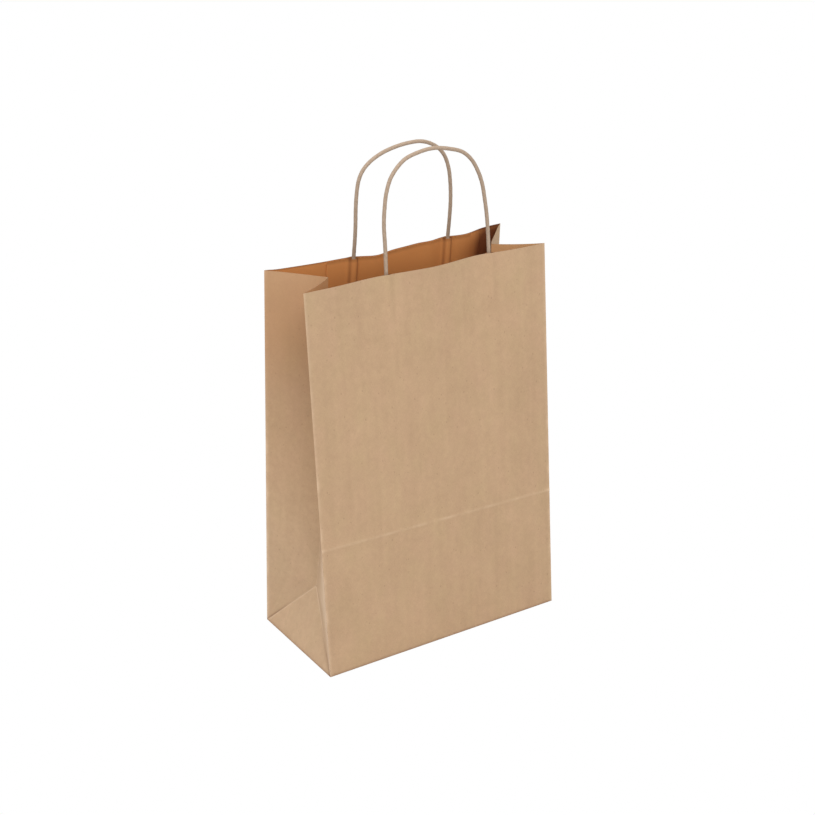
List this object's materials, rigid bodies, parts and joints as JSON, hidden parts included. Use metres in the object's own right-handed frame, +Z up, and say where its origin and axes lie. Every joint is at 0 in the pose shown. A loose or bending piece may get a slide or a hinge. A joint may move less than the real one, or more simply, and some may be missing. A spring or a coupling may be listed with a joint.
{
  "type": "gift bag",
  "caption": "Open paper carrier bag with a block bottom, folded side gussets and twisted cord handles; handles swing and the bag folds flat.",
  "frame": {"origin": "middle of the base underside, on the surface the bag stands on", "axes": "+Z up, towards the handles; +X along the wide walls, to the right seen from the front; the front wall faces -Y"},
  "size_m": [0.22, 0.105, 0.405],
  "materials": {
    "kraft": "matt uncoated kraft paper, fibrous, worn pale along the folds",
    "inside_paper": "matt kraft paper, inner face, warmer",
    "cord": "twisted paper cord, slightly glazed"
  },
  "bodies": {
    "base": {"base_flap_rear": "kraft", "base_flap_front": "kraft", "base_flap_left": "inside_paper", "base_flap_right": "inside_paper"},
    "front_wall": {"front_wall": "kraft", "left_gusset_front": "kraft", "right_gusset_front": "kraft", "front_handle_backing": "inside_paper", "front_handle_cover": "inside_paper", "front_cord_left_tail": "cord", "front_cord_right_tail": "cord"},
    "back_lower": {"back_wall_lower": "kraft", "side_seam_lower": "inside_paper", "left_gusset_corner": "kraft", "right_gusset_corner": "kraft"},
    "back_upper": {"back_wall_upper": "kraft", "side_seam_upper": "inside_paper", "left_gusset_rear": "kraft", "right_gusset_rear": "kraft", "back_handle_backing": "inside_paper", "back_handle_cover": "inside_paper", "back_cord_left_tail": "cord", "back_cord_right_tail": "cord"},
    "left_triangle": {"left_gusset_triangle": "kraft"},
    "right_triangle": {"right_gusset_triangle": "kraft"},
    "front_handle": {"front_cord_loop": "cord"},
    "back_handle": {"back_cord_loop": "cord"}
  },
  "joints": [
    {"name": "fold", "type": "hinge", "parent": "base", "child": "front_wall", "pos_m": [0, -0.05235, 0.003], "axis": [-1, 0, 0], "range_deg": [0, 80.5], "deforming": ["left_gusset_front", "right_gusset_front", "left_gusset_rear", "right_gusset_rear", "left_gusset_corner", "right_gusset_corner"]},
    {"name": "back_lower_fold", "type": "hinge", "parent": "base", "child": "back_lower", "pos_m": [0, 0.05235, 0.003], "axis": [1, 0, 0], "range_deg": [0, 84.9]},
    {"name": "back_crease", "type": "hinge", "parent": "back_lower", "child": "back_upper", "pos_m": [0, 0.04979, 0.05544], "axis": [-1, 0, 0], "range_deg": [0, 179.19]},
    {"name": "left_triangle_fold", "type": "hinge", "parent": "base", "child": "left_triangle", "pos_m": [-0.10985, 0, 0.00195], "axis": [0, 1, 0], "range_deg": [0, 68]},
    {"name": "right_triangle_fold", "type": "hinge", "parent": "base", "child": "right_triangle", "pos_m": [0.10985, 0, 0.00195], "axis": [0, -1, 0], "range_deg": [0, 68]},
    {"name": "front_handle_swing", "type": "hinge", "parent": "front_wall", "child": "front_handle", "pos_m": [0, -0.02246, 0.31538], "axis": [1, 0, 0], "range_deg": [-6, 90]},
    {"name": "back_handle_swing", "type": "hinge", "parent": "back_upper", "child": "back_handle", "pos_m": [0, 0.03179, 0.31614], "axis": [-1, 0, 0], "range_deg": [-6, 90]}
  ],
  "couplings": [
    {"joint": "back_lower_fold", "follows": "fold", "ratio": 1.0534},
    {"joint": "back_crease", "follows": "fold", "ratio": 2.2247},
    {"joint": "left_triangle_fold", "follows": "fold", "ratio": 0.84301},
    {"joint": "right_triangle_fold", "follows": "fold", "ratio": 0.84301}
  ]
}
